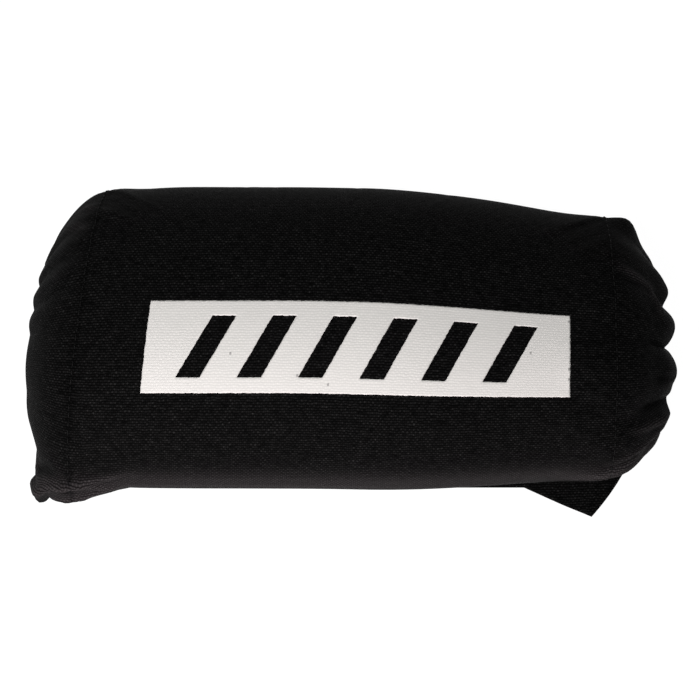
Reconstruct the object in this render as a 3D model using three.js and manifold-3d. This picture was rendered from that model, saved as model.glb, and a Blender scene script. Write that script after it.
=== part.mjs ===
// A soft pad for the bar of a roof rack, lying on its back with the printed face up.
// A foam block with a channel for the bar sits in a sewn cloth cover. Elastic in a folded hem draws in
// each end of the cover, and a wide flap with hook-and-loop tape closes the cover across the back.
// X runs along the pad, Y across it and Z up from the surface that it lies on. Sizes are in millimetres.

import * as THREE from "three";
import { mergeVertices } from "three/addons/utils/BufferGeometryUtils.js";
import Module from "manifold-3d";

const wasm = await Module();
wasm.setup();

// The filled body of the pad, measured over the cloth.
const bodyWidth = 93;
const bodyHeight = 50;
const narrowWidth = 80.5;
const narrowHeight = 43.5;
const taper = { from: 5, to: 85 };
const lean = { by: 3.2, from: -20, to: 90 }; // the narrow end also leans towards the flap's free edge
const shoulder = 0.42; // height of the widest line, as a share of the body's height
const topRoundness = 2.25; // exponent of the domed front
const cornerReach = 9; // how far the lower corners are rounded inwards

// The two gathered ends. Each closes in from the body's full section to its mouth along a rounded cap.
// Valleys lie between the gathers, as shares of the girth from the lapped edge, and heights are those of the
// gathers between them. The left end has every valley that the right end has.
const leftEnd = {
  reach: 98.4, // from the middle of the pad
  capFar: 31, // length of the cap on the side away from the flap's free edge
  capNear: 20, // and on the side next to it
  roundness: 2.1,
  mouth: 0.62, // size of the mouth, as a share of the full section
  bulge: 3.2, // how far the middle of the end stands out past its sides and the part under the pad
  tilt: -0.3, // where across the end it stands out most, from -1 at the free edge's side to 1
  ruffle: 0.35, // share of the gathers' height that ends close to the rim
  fade: 12, // length over which the rest runs out into the body
  valleys: [0, 0.07, 0.13, 0.19, 0.25, 0.31, 0.355, 0.405, 0.465, 0.525, 0.66, 0.76, 0.82, 0.88, 0.94, 1],
  heights: [1.1, 1, 1.2, 1.2, 1.1, 0.9, 0.8, 0.7, 0.5, 0.35, 0.3, 0.9, 1.1, 1, 1.1],
};
const rightEnd = {
  reach: 97.8,
  capFar: 22,
  capNear: 22,
  roundness: 2.1,
  mouth: 0.62,
  bulge: 4,
  tilt: -0.1,
  ruffle: 0.6,
  fade: 18,
  valleys: [0, 0.07, 0.13, 0.19, 0.25, 0.31, 0.405, 0.525, 0.66, 0.76, 0.82, 0.88, 0.94, 1],
  heights: [2.2, 1.6, 2, 2.2, 2.6, 1.4, 3.1, 3.3, 2.9, 1.7, 2, 2.2, 2],
};
const ruffleEnds = { from: 3, to: 10 }; // distances from the rim between which the ruffle dies out
const pinch = { depth: 0.45, width: 2.5 }; // groove that the casing's stitches draw into the gathers
const flatUnder = { lapped: [0.1, 0.17], inner: [0.84, 0.9] }; // where the gathers die out under the pad

// Cloth, hem and tape.
const cloth = 0.6;
const clearance = 0.3; // between pieces that touch
const casing = 21; // width of the folded hem, from its edge to its row of stitches
const hemTurn = 1; // radius at which the hem folds back
const elasticWidth = 7;
const elasticThickness = 0.5;
const rawEdge = 1.5; // how far the cloth's raw edge stops short of the stitches
const tapeWidth = 18;
const tapeLength = 128;
const tapeThickness = 1;

// Channel for the bar.
const foamStep = 6; // length over which the foam narrows to pass into a hem
const hemEase = 0.2; // extra room round the foam inside a hem
const channelWidth = 34;
const channelDepth = 22;
const channelFillet = 3;
const filletSegments = 4;
const edgeMargin = 1; // from the channel to the cloth edges and from these to the tape

// Bunches of cloth. Each is centred at a distance along the cloth and a share of its girth, and pulls the cloth
// out, sideways and down. The folds make the two halves of the ear at the lower left corner. The hollows, above
// the ear and between its halves, press into the foam too.
const folds = [
  { along: -99, length: 9.5, girth: 0.822, spread: 0.05, out: 13, sideways: 0.5, down: 1 },
  { along: -80, length: 9, girth: 0.8, spread: 0.034, out: 4.6, sideways: 0, down: 1.5 },
];
const hollows = [
  { along: -95, length: 7, girth: 0.75, spread: 0.03, out: -1.5, sideways: -2, down: 0 },
  { along: -88.5, length: 4, girth: 0.812, spread: 0.035, out: -2, sideways: 0, down: 0 },
];

// Closing flap, flat under the pad. Its right corner stands out past the body.
const flapFreeEdge = 3.5; // from the body's widest line in to the free edge
const flapCorner = { from: 55, tip: 75.5, out: 9.5, lift: 1.6, depth: 32, taper: 2.6 };
const flapEnds = 95;
const flapSlope = 16; // how far each end of the flap is cut back at the sewn edge

// Printed band on the front.
const print = {
  left: -58.5,
  right: 65,
  height: 27, // along the cloth
  offset: -11.2, // of its middle from the middle of the front
  rail: 4.5, // from a slot's end to the edge of the band
  slots: 6,
  slotWidth: 7,
  slant: 9, // how far a slot's far end lies to the right of its near end
  film: 0.3,
};

// Mesh density: columns for each gather, and rows along the print.
const gatherColumns = 4;
const printRows = 6;
const capRows = 3; // steps from the print to a casing
const flapColumns = 12;
const flapRows = 8;

const mix = (a, b, t) => a + (b - a) * t;
const clamp = (t) => Math.min(1, Math.max(0, t));
const smooth = (a, b, x) => {
  const t = clamp((x - a) / (b - a));
  return t * t * (3 - 2 * t);
};
const bell = (x) => Math.exp(-x * x);
const range = (n, from, to) => Array.from({ length: n + 1 }, (_, i) => mix(from, to, i / n));

// Levels of the cloth's middle surface under the pad, from the flap upwards.
const lapLevel = cloth + clearance + cloth / 2;
const tapeStack = 2 * tapeThickness + 2 * clearance;
const innerLevel = cloth + tapeStack + clearance + cloth / 2;
const clothEdge = channelWidth / 2 + edgeMargin;

// Distances of the elastic's two edges from the folded rim.
const elasticNear = (casing - elasticWidth) / 2;
const elasticFar = (casing + elasticWidth) / 2;

// Maps a distance along a curve to the curve's own parameter, from 0 to 1.
const arcSteps = 1000;
function byArc(curve) {
  const at = [0];
  let last = curve(0);
  for (let i = 1; i <= arcSteps; i++) {
    const next = curve(i / arcSteps);
    at.push(at[i - 1] + Math.hypot(next[0] - last[0], next[1] - last[1]));
    last = next;
  }
  const find = (distance) => {
    const d = Math.min(Math.max(distance, 0), at[arcSteps]);
    let low = 0;
    let high = arcSteps;
    while (high - low > 1) {
      const middle = (low + high) >> 1;
      if (at[middle] <= d) low = middle;
      else high = middle;
    }
    return (low + (d - at[low]) / (at[high] - at[low])) / arcSteps;
  };
  return { length: at[arcSteps], find };
}

// A quarter of a superellipse, from (1, 0) at t = 0 to (0, 1) at t = 1.
function quarter(t, exponent) {
  const angle = (t * Math.PI) / 2;
  return [Math.cos(angle) ** (2 / exponent), Math.sin(angle) ** (2 / exponent)];
}

// The cloth's path round the pad at a given width and height: lapped edge, far side, front, near side and
// inner flap. t runs from 0 to 6, one unit for each stretch.
function section(t, width, height) {
  const half = width / 2;
  const scale = width / bodyWidth;
  const reach = cornerReach * scale;
  const middle = mix(lapLevel, height, shoulder);
  const piece = Math.min(5, Math.floor(t));
  const f = t - piece;
  if (piece === 0) return [mix(clothEdge, half - reach, f), lapLevel];
  if (piece === 5) return [mix(-(half - reach), -clothEdge, f), innerLevel];
  if (piece === 1) {
    const [down, out] = quarter(f, 2);
    return [half - reach + reach * out, middle - (middle - lapLevel) * down];
  }
  if (piece === 4) {
    const [out, down] = quarter(f, 2);
    return [-(half - reach + reach * out), middle - (middle - innerLevel) * down];
  }
  if (piece === 2) {
    const [out, up] = quarter(f, topRoundness);
    return [half * out, middle + (height - middle) * up];
  }
  const [up, out] = quarter(f, topRoundness);
  return [-half * out, middle + (height - middle) * up];
}

const girth = byArc((t) => section(6 * t, bodyWidth, bodyHeight));
const stretchAt = (c) => 6 * girth.find(c * girth.length);

// The cap of one end: how far along it and how much of the full section is left, at a distance along the cloth.
function capOf(end) {
  const meanHalf = (bodyWidth / 2 + bodyHeight) / 2.5;
  const depth = (end.capFar + end.capNear) / 2;
  const curve = (t) => {
    const [left, along] = quarter(t, end.roundness);
    return [depth * along, meanHalf * left];
  };
  const arc = byArc(curve);
  const rim = (2 / Math.PI) * Math.acos(end.mouth ** (end.roundness / 2));
  let length = 0;
  for (const d of range(arcSteps, 0, arc.length)) if (arc.find(d) <= rim) length = d;
  return { length, at: (d) => quarter(arc.find(d), end.roundness) };
}
leftEnd.cap = capOf(leftEnd);
rightEnd.cap = capOf(rightEnd);

// Half of the cloth's length between the caps, and the distance to each rim.
const straight = (leftEnd.reach + rightEnd.reach - leftEnd.capFar - rightEnd.capFar) / 2;
leftEnd.rim = straight + leftEnd.cap.length;
rightEnd.rim = straight + rightEnd.cap.length;

// Gathers: rounded lobes with sharp valleys between them.
function lobe(f) {
  const sharp = 0.05;
  const raised = Math.sqrt(Math.sin(Math.PI * f) ** 2 + sharp);
  return (raised - Math.sqrt(sharp)) / (Math.sqrt(1 + sharp) - Math.sqrt(sharp));
}
function gatherAt({ valleys, heights }, c) {
  const i = Math.min(valleys.length - 2, Math.max(0, valleys.findIndex((v) => v > c) - 1));
  return lobe((c - valleys[i]) / (valleys[i + 1] - valleys[i])) * heights[i];
}
function gathers(end, e, c) {
  const away = end.rim - Math.abs(e);
  const ruffle = end.ruffle * (1 - smooth(ruffleEnds.from, ruffleEnds.to, away));
  const run = (1 - end.ruffle) * (1 - smooth(casing, casing + end.fade, away));
  const drawn = 1 - pinch.depth * bell((away - casing) / pinch.width);
  const sides = smooth(...flatUnder.lapped, c) * (1 - smooth(...flatUnder.inner, c));
  return (ruffle + run) * drawn * sides * gatherAt(end, c);
}

// Middle surface of the cloth without its gathers and bunches. e runs along the pad and c, from 0 to 1, round it.
function body(e, c) {
  const end = e < 0 ? leftEnd : rightEnd;
  const side = e < 0 ? -1 : 1;
  const t = stretchAt(c);
  const [fullY, fullZ] = section(t, bodyWidth, bodyHeight);
  const across = (2 * fullY) / bodyWidth;
  const raised = smooth(0, shoulder, fullZ / bodyHeight);
  const nearness = (1 - across) / 2;
  const start = (one) => one.reach - mix(one.capFar, one.capNear, nearness);
  let x;
  let size = 1;
  if (Math.abs(e) <= straight) x = mix(-start(leftEnd), start(rightEnd), (e + straight) / (2 * straight));
  else {
    const [left, along] = end.cap.at(Math.abs(e) - straight);
    size = left;
    x = side * (start(end) + mix(end.capFar, end.capNear, nearness) * along);
    x += side * end.bulge * (1 - (across - end.tilt) ** 2) * raised * along;
  }
  const narrowing = smooth(taper.from, taper.to, x);
  const width = mix(bodyWidth, narrowWidth, narrowing) * size;
  const height = mix(bodyHeight, narrowHeight, narrowing) * size;
  const [y, z] = section(t, width, height);
  return new THREE.Vector3(x, y - lean.by * smooth(lean.from, lean.to, x), z);
}
function bunched(bunches, e, c) {
  const point = body(e, c);
  for (const bunch of bunches) {
    const share = bell((e - bunch.along) / bunch.length) * bell((c - bunch.girth) / bunch.spread);
    point.add(new THREE.Vector3(-bunch.sideways, -bunch.out, -bunch.down).multiplyScalar(share));
  }
  return point;
}
const loose = (e, c) => bunched([...folds, ...hollows], e, c);
const filled = (e, c) => bunched(hollows, e, c);

// Outward normal of a surface given as a function of e and c, from four points close by.
const near = { along: 0.05, round: 2e-4 };
function normalOf(surface, e, c) {
  const along = surface(e + near.along, c).sub(surface(e - near.along, c));
  const c0 = Math.max(0, c - near.round);
  const c1 = Math.min(1, c + near.round);
  const round = surface(e, c1).sub(surface(e, c0));
  return round.cross(along).normalize();
}

// A point of the gathered cloth, or at an offset from it along its normal.
function gathered(e, c) {
  const end = e < 0 ? leftEnd : rightEnd;
  return loose(e, c).addScaledVector(normalOf(loose, e, c), gathers(end, e, c));
}
const offsetFrom = (surface) => (e, c, off) => surface(e, c).addScaledVector(normalOf(surface, e, c), off);
const onCloth = offsetFrom(gathered);

// A point of the folded hem. past is the distance along the cloth past the rim.
function hemPoint(end, past, c, off) {
  const side = end === leftEnd ? -1 : 1;
  const turn = Math.PI * hemTurn;
  if (past <= 0) return onCloth(side * (end.rim + past), c, off);
  if (past >= turn) return onCloth(side * (end.rim - (past - turn)), c, -2 * hemTurn - off);
  const angle = past / hemTurn;
  return onCloth(
    side * (end.rim + (hemTurn + off) * Math.sin(angle)),
    c,
    -hemTurn + (hemTurn + off) * Math.cos(angle),
  );
}

// A closed solid from a grid of points on its two faces. u runs along X, v round the pad. Where the rows turn
// back under others, each square is split the other way, so that the facets of both layers stay parallel.
function sheet(point, us, vs, outer, inner, turnedBack = () => false) {
  const rows = us.length;
  const cols = vs.length;
  const positions = [];
  for (const off of [outer, inner])
    for (const u of us) for (const v of vs) positions.push(...point(u, v, off).toArray());
  const id = (face, i, j) => face * rows * cols + i * cols + j;
  const index = [];
  const quad = (a, b, c, d) => index.push(a, b, c, a, c, d);
  const otherQuad = (a, b, c, d) => quad(b, c, d, a);
  for (let i = 0; i + 1 < rows; i++) {
    const split = turnedBack(us[i], us[i + 1]) ? otherQuad : quad;
    for (let j = 0; j + 1 < cols; j++) {
      split(id(0, i, j), id(0, i, j + 1), id(0, i + 1, j + 1), id(0, i + 1, j));
      split(id(1, i, j), id(1, i + 1, j), id(1, i + 1, j + 1), id(1, i, j + 1));
    }
  }
  for (let i = 0; i + 1 < rows; i++) {
    quad(id(0, i, 0), id(0, i + 1, 0), id(1, i + 1, 0), id(1, i, 0));
    quad(id(0, i, cols - 1), id(1, i, cols - 1), id(1, i + 1, cols - 1), id(0, i + 1, cols - 1));
  }
  for (let j = 0; j + 1 < cols; j++) {
    quad(id(0, 0, j), id(1, 0, j), id(1, 0, j + 1), id(0, 0, j + 1));
    quad(id(0, rows - 1, j), id(0, rows - 1, j + 1), id(1, rows - 1, j + 1), id(1, rows - 1, j));
  }
  return geometry(positions, index);
}

function geometry(positions, index) {
  const made = new THREE.BufferGeometry();
  made.setAttribute("position", new THREE.Float32BufferAttribute(positions, 3));
  made.setIndex(index);
  made.computeVertexNormals();
  return made;
}

// Solids for cuts.
function solid(shape) {
  const bare = shape.clone();
  bare.deleteAttribute("normal");
  bare.deleteAttribute("uv");
  const merged = mergeVertices(bare, 1e-4);
  const mesh = new wasm.Mesh({
    numProp: 3,
    vertProperties: merged.attributes.position.array,
    triVerts: new Uint32Array(merged.index.array),
  });
  return new wasm.Manifold(mesh);
}
function fromSolid(made) {
  const mesh = made.getMesh();
  return geometry(Array.from(mesh.vertProperties), Array.from(mesh.triVerts));
}

// The distance along the cloth at which the middle of its front lies over a given place on the pad's length.
function alongAt(x) {
  const start = (end) => end.reach - (end.capFar + end.capNear) / 2;
  return straight * ((2 * (x + start(leftEnd))) / (start(leftEnd) + start(rightEnd)) - 1);
}

// Rows between the casings: the two ends of the print, those along it, and a few from each end to the casing.
const printLeft = alongAt(print.left);
const printRight = alongAt(print.right);
const printStations = range(printRows, printLeft, printRight);
const toCasing = (end, edge) => range(capRows, end.rim - casing, edge).slice(1, -1).map((e) => end.rim - e);
leftEnd.stations = [elasticNear, elasticFar, casing, ...toCasing(leftEnd, -printLeft)];
rightEnd.stations = [elasticNear, elasticFar, casing, ...toCasing(rightEnd, printRight)];

// Distances past the rim for one end, from the hem's raw edge out round its fold to the casing and the cap.
function endRows(end) {
  const turn = Math.PI * hemTurn;
  const hem = [turn + casing - rawEdge, turn + elasticFar, turn + elasticNear, turn, turn / 2, 0];
  return [...hem, ...end.stations.map((d) => -d)].map((past) => ({ end, past }));
}

// Columns round the cloth: a few for each gather, and one along each long side of the print.
const printMiddle = shareAt(print.offset);
const printHalf = print.height / 2 / girth.length;
const { valleys } = leftEnd;
const gatherShares = valleys.slice(1).flatMap((v, i) => range(gatherColumns, valleys[i], v).slice(1));
const columns = [0, ...gatherShares, printMiddle - printHalf, printMiddle + printHalf].sort((a, b) => a - b);

function coverGeometry() {
  const middleRows = printStations.map((e) => ({ end: null, e }));
  const rows = [...endRows(leftEnd), ...middleRows, ...endRows(rightEnd).reverse()];
  const point = (row, c, off) => (row.end ? hemPoint(row.end, row.past, c, off) : onCloth(row.e, c, off));
  const inHem = (row, next) => Math.max(row.past ?? 0, next.past ?? 0) > 0;
  return sheet(point, rows, columns, cloth / 2, -cloth / 2, inHem);
}

// Elastic between the two layers of one hem.
function elasticGeometry(end) {
  const side = end === leftEnd ? -1 : 1;
  const rows = [end.rim - elasticFar, end.rim - elasticNear].map((e) => side * e);
  if (side < 0) rows.reverse();
  const half = elasticThickness / 2;
  return sheet(onCloth, rows, columns.slice(1, -1), -hemTurn + half, -hemTurn - half);
}

// The foam block fills the cover inside the hems, with the channel for the bar cut from end to end.
function foamGeometry() {
  const single = cloth / 2 + clearance;
  const doubled = 2 * hemTurn + single + hemEase;
  const inset = (end, e) => mix(doubled, single, smooth(casing, casing + foamStep, end.rim - Math.abs(e)));
  const inside = (e, c) => offsetFrom(filled)(e, c, -inset(e < 0 ? leftEnd : rightEnd, e));
  const left = leftEnd.stations.map((d) => d - leftEnd.rim);
  const right = rightEnd.stations.map((d) => rightEnd.rim - d).reverse();
  const places = [...left, ...printStations, ...right];
  const rings = places.map((e) => columns.map((c) => inside(e, c)));
  const block = solid(loft(rings));
  return fromSolid(block.subtract(solid(channelCutter())));
}

// Solid through closed rings of points, with a fan over each end.
function loft(rings) {
  const n = rings[0].length;
  const positions = rings.flat().flatMap((p) => p.toArray());
  const index = [];
  for (let i = 0; i + 1 < rings.length; i++)
    for (let j = 0; j < n; j++) {
      const k = (j + 1) % n;
      const [a, b, c, d] = [i * n + j, (i + 1) * n + j, (i + 1) * n + k, i * n + k];
      index.push(a, c, b, a, d, c);
    }
  for (const last of [false, true]) {
    const ring = last ? rings[rings.length - 1] : rings[0];
    const centre = ring.reduce((sum, p) => sum.add(p), new THREE.Vector3()).divideScalar(n);
    const hub = positions.length / 3;
    positions.push(...centre.toArray());
    const base = last ? (rings.length - 1) * n : 0;
    for (let j = 0; j < n; j++) {
      const k = (j + 1) % n;
      if (last) index.push(hub, base + j, base + k);
      else index.push(hub, base + k, base + j);
    }
  }
  return geometry(positions, index);
}

const seatHeight = lapLevel + cloth / 2 + clearance + channelDepth;
function channelCutter() {
  const half = channelWidth / 2;
  const below = -bodyHeight;
  const shape = new THREE.Shape();
  shape.moveTo(-half, below);
  shape.lineTo(half, below);
  shape.lineTo(half, seatHeight - channelFillet);
  shape.absarc(half - channelFillet, seatHeight - channelFillet, channelFillet, 0, Math.PI / 2, false);
  shape.lineTo(-half + channelFillet, seatHeight);
  shape.absarc(-half + channelFillet, seatHeight - channelFillet, channelFillet, Math.PI / 2, Math.PI, false);
  shape.closePath();
  const length = 2 * (leftEnd.reach + rightEnd.reach);
  const along = { depth: length, bevelEnabled: false, curveSegments: filletSegments };
  const cutter = new THREE.ExtrudeGeometry(shape, along);
  cutter.translate(0, 0, -length / 2);
  cutter.rotateX(Math.PI / 2);
  cutter.rotateZ(Math.PI / 2);
  return cutter;
}

// The closing flap lies on the floor under the pad. u runs along it and v from its sewn edge to its free edge.
function flapPoint(u, v, off) {
  const sewn = bodyWidth / 2 - cornerReach;
  const free = -(bodyWidth / 2 - flapFreeEdge);
  const y0 = mix(sewn, free, v);
  const slope = flapSlope * clamp(y0 / sewn) ** 2;
  const toTip = (flapEnds - flapCorner.tip) * clamp(y0 / free) ** flapCorner.taper;
  const x = mix(slope - flapEnds, flapEnds - slope - toTip, u);
  const turned = clamp((x - flapCorner.from) / (flapCorner.tip - flapCorner.from));
  const corner = turned * clamp(1 - (y0 - free) / flapCorner.depth);
  const y = y0 - flapCorner.out * corner;
  const lift = flapCorner.lift * corner * smooth(tapeLength / 2 + edgeMargin, flapCorner.tip, x);
  return new THREE.Vector3(x, y, cloth / 2 + off + lift);
}
function flapGeometry() {
  const crowded = range(flapColumns, 0, 1).map((u) => Math.sin((u * Math.PI) / 2)); // closer near the corner
  return sheet(flapPoint, crowded, range(flapRows, 0, 1), cloth / 2, -cloth / 2);
}

// A strip of tape under the closure side of the pad.
function tapeGeometry(bottom) {
  const tape = new THREE.BoxGeometry(tapeLength, tapeWidth, tapeThickness);
  const y = -(clothEdge + edgeMargin + tapeWidth / 2);
  tape.translate(0, y, bottom + tapeThickness / 2);
  return tape;
}

// The printed band: one field of colour with a row of slanted openings.
function printGeometry() {
  const bottom = cloth / 2 + clearance;
  const across = columns.filter((c) => Math.abs(c - printMiddle) <= printHalf);
  const band = sheet(onCloth, printStations, across, bottom + print.film, bottom);
  let made = solid(band);
  const pitch = (print.right - print.left) / (print.slots + 1);
  for (let i = 1; i <= print.slots; i++) made = made.subtract(solid(slotCutter(print.left + i * pitch)));
  return fromSolid(made);
}

// The share of the girth at which the front of the body crosses a given y.
function shareAt(y) {
  let best = 0.5;
  for (const c of range(400, 0.3, 0.7)) if (Math.abs(body(0, c).y - y) < Math.abs(body(0, best).y - y)) best = c;
  return best;
}

// A slot's ends follow the band, whose rails keep their width on the curved front.
function slotCutter(x) {
  const share = (print.height / 2 - print.rail) / girth.length;
  const yAt = (c) => body(alongAt(x), c).y;
  const [farEnd, nearEnd] = [yAt(printMiddle - share), yAt(printMiddle + share)];
  const w = print.slotWidth / 2;
  const slope = print.slant / 2;
  const shape = new THREE.Shape();
  shape.moveTo(x - w - slope, nearEnd);
  shape.lineTo(x + w - slope, nearEnd);
  shape.lineTo(x + w + slope, farEnd);
  shape.lineTo(x - w + slope, farEnd);
  shape.closePath();
  const cutter = new THREE.ExtrudeGeometry(shape, { depth: bodyHeight, bevelEnabled: false });
  cutter.translate(0, 0, bodyHeight / 2);
  return cutter;
}

const fabricBlack = { color: 0x141414, roughness: 0.9, metalness: 0 };
const parts = {
  cover: [coverGeometry(), fabricBlack],
  closing_flap: [flapGeometry(), fabricBlack],
  foam_core: [foamGeometry(), { color: 0x3a3a3c, roughness: 0.95, metalness: 0 }],
  elastic_left: [elasticGeometry(leftEnd), { color: 0x202022, roughness: 0.8, metalness: 0 }],
  elastic_right: [elasticGeometry(rightEnd), { color: 0x202022, roughness: 0.8, metalness: 0 }],
  hook_tape: [tapeGeometry(cloth + clearance), { color: 0x101012, roughness: 0.7, metalness: 0 }],
  loop_tape: [
    tapeGeometry(cloth + 2 * clearance + tapeThickness),
    { color: 0x18181a, roughness: 1, metalness: 0 },
  ],
  printed_band: [printGeometry(), { color: 0xdcd8d4, roughness: 0.7, metalness: 0 }],
};

const pad = new THREE.Group();
for (const [name, [shape, finish]] of Object.entries(parts)) {
  const mesh = new THREE.Mesh(shape, new THREE.MeshStandardMaterial(finish));
  mesh.name = name;
  pad.add(mesh);
}

// The origin is the middle of the pad's footprint.
const box = new THREE.Box3().setFromObject(pad);
const footprint = box.getCenter(new THREE.Vector3()).setZ(box.min.z);
pad.position.copy(footprint).negate();

export default pad;
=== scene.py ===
"""The looks of a soft roof rack pad: a foam block in a gathered cover of black woven nylon, printed on its
front and closed underneath by a flap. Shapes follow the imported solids, piece by piece, at cloth scale."""

import math

import bmesh
import bpy
import numpy as np
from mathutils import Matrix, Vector


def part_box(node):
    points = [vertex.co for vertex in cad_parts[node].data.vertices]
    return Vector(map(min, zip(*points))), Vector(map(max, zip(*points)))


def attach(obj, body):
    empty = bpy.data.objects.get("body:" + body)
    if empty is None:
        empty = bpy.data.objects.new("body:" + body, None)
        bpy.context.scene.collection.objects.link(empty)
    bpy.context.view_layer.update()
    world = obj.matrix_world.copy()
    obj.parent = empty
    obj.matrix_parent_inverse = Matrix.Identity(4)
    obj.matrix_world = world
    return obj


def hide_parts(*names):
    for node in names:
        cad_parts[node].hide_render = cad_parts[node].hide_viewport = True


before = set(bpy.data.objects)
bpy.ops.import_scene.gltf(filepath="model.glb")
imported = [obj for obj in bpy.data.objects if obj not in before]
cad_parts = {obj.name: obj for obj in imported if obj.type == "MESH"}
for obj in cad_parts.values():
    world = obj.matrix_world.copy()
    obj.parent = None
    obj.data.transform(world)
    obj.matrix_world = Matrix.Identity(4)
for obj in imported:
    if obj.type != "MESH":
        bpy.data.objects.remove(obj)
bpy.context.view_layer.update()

# Lengths in this script are in millimetres. MM turns them into Blender's metres when a mesh is made.
MM = 0.001

# The filled body, measured over the cloth. It narrows over the stretch TAPER, and leans to the near side over
# LEAN_RUN. SHOULDER is the share of the height at which its sides turn into the front.
BODY_WIDTH = 93
BODY_HEIGHT = 50
NARROW_WIDTH = 80.5
NARROW_HEIGHT = 43.5
TAPER = (5, 85)
LEAN = 3.2
LEAN_RUN = (-20, 90)
SHOULDER = 0.42
TOP_ROUNDNESS = 2.25
CORNER_REACH = 9

# The two gathered ends: reach from the middle, cap lengths on the far and near sides, the mouth's size, how
# far the end bulges past its sides, and the place across the pad where it does so most.
LEFT = dict(side=-1, reach=97.6, far=31, near=20, roundness=2.1, mouth=0.62, bulge=3.2, tilt=-0.45)
RIGHT = dict(side=1, reach=97.8, far=22, near=22, roundness=2.1, mouth=0.62, bulge=4, tilt=-0.1)
# Valleys between the gathers of each end, as shares of the girth, and the height of each gather between
# them. The share of it called ruffle stands at the rim, and the rest runs out past the seam over the fade.
LEFT.update(
    valleys=[0, 0.07, 0.13, 0.19, 0.25, 0.31, 0.355, 0.405, 0.465, 0.525, 0.66, 0.76, 0.82, 0.88, 0.94, 1],
    heights=[1.1, 1.0, 1.2, 1.2, 1.1, 1.0, 1.1, 1.0, 0.8, 0.45, 0.3, 0.9, 1.1, 1.0, 1.1],
    ruffle=0.35,
    fade=12,
    pucker=0.22,
    seam_shade=0.6,
)
RIGHT.update(
    valleys=[0, 0.07, 0.13, 0.19, 0.25, 0.31, 0.405, 0.525, 0.66, 0.76, 0.82, 0.88, 0.94, 1],
    heights=[2.2, 1.6, 2.0, 1.6, 1.8, 1.3, 3.1, 3.3, 2.9, 1.7, 2.0, 2.2, 2.0],
    ruffle=0.6,
    fade=18,
    pucker=0.12,
    seam_shade=0.1,
)
# Distances from the rim over which the ruffle ends, and past which no gather reaches.
RUFFLE = (3, 10)
GATHER_REACH = 60
# How sharp the valleys are, and how far they wander, as a share of the girth.
VALLEY_SHARPNESS = 0.03
VALLEY_DRIFT = 0.006
# The hem's seam draws the gathers in, puckers the cloth and lies in a groove.
SEAM_DRAW = 0.45
SEAM_DRAW_WIDTH = 2.2
PUCKER_PITCH = 5.2
PUCKER_REACH = 3.5
SEAM_DEPTH = 0.25
SEAM_WIDTH = 1.0
# The painted highlight on the lower front edge: its strength, its place and half width round the girth.
EDGE_HIGHLIGHT = 1.0
EDGE_HIGHLIGHT_AT = 0.785
EDGE_HIGHLIGHT_SPREAD = 0.028
# The cloth underneath lies flat: shares of the girth between which the gathers begin and end.
FLAT_LAPPED = (0.1, 0.17)
FLAT_INNER = (0.84, 0.9)

# Cloth, hem and tape.
CLOTH = 0.6
CLEARANCE = 0.3
CASING = 21
HEM_TURN = 1
RAW_EDGE = 1.5
TAPE_WIDTH = 18
TAPE_LENGTH = 128
TAPE_THICKNESS = 1
CHANNEL_WIDTH = 34
EDGE_MARGIN = 1

# The weave: distances from thread to thread along the pad and round it, how far its rows wander, in threads,
# the height of a crossing where the row lies under, and the contrast of the streaks along a thread.
WARP = 0.577
WEFT = 0.8
ROW_WANDER = 0.9
UNDER_HEIGHT = 0.6
STREAK_CONTRAST = 2.0

# Levels of the cloth's middle surface under the pad.
LAP_LEVEL = CLOTH + CLEARANCE + CLOTH / 2
INNER_LEVEL = CLOTH + 2 * TAPE_THICKNESS + 3 * CLEARANCE + CLOTH / 2
CLOTH_EDGE = CHANNEL_WIDTH / 2 + EDGE_MARGIN

# The pad's own axis in the row frame, found from the tape that lies at a known distance from it.
tape_low, tape_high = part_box("hook_tape")
AXIS_X = (tape_low[0] + tape_high[0]) / 2 / MM
AXIS_Y = (tape_low[1] + tape_high[1]) / 2 / MM + CLOTH_EDGE + EDGE_MARGIN + TAPE_WIDTH / 2

random_source = np.random.default_rng(7)


# Colours, in linear light: of the cloth's gaps, in painted shade, and threads, their crowns with a painted
# highlight, of the painted highlight on its crests and lower front edge, of the ink, and of the rest.
CLOTH_GAP = (0.0001, 0.0001, 0.0001)
CLOTH_DULL = (0.0012, 0.0012, 0.0013)
CLOTH_CROWN_HIGHLIGHT = (0.0325, 0.0314, 0.0314)
CLOTH_WORN = (0.0030, 0.0028, 0.0028)
CLOTH_HIGHLIGHT = (0.085, 0.075, 0.077)
INK_BRIGHT = (0.635, 0.615, 0.592)
INK_DULL = (0.58, 0.563, 0.542)
INK_GAP = (0.46, 0.445, 0.43)
INK_BARE = (0.30, 0.29, 0.28)
THREAD_BLACK = (0.010, 0.0098, 0.0098)
FOAM_CELL = (0.02, 0.02, 0.022)
FOAM_DARK = (0.035, 0.035, 0.038)
FOAM_LIGHT = (0.06, 0.06, 0.064)
ELASTIC_BLACK = (0.016, 0.016, 0.017)
HOOK_BLACK = (0.006, 0.006, 0.0065)
LOOP_BLACK = (0.010, 0.010, 0.0105)

# How much of the cloth's brightness is the same at every crossing, how sharply the painted highlight on its
# threads stands out of the painted shade of the gaps, how much dust of wear lies over it, and how strongly
# the painted highlight lies on ridges and the painted shade in hollows.
EVEN_SHARE = 0.5
THREAD_CONTRAST = 1.6
WEAR_SHARE = 0.2
HIGHLIGHT_STRENGTH = 0.3
HOLLOW_SHADE_STRENGTH = 0.8
# The share of crossings that the ink covers.
INKED_SHARE = 0.9985
# How much lighter the tips of a hook or loop field are than its ground.
PILE_LIGHT = 1.8


# Small helpers for curves and grids.
def mix(a, b, t):
    return a + (b - a) * t


def smooth(a, b, x):
    t = np.clip((x - a) / (b - a), 0, 1)
    return t * t * (3 - 2 * t)


def bell(x):
    return np.exp(-x * x)


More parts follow.
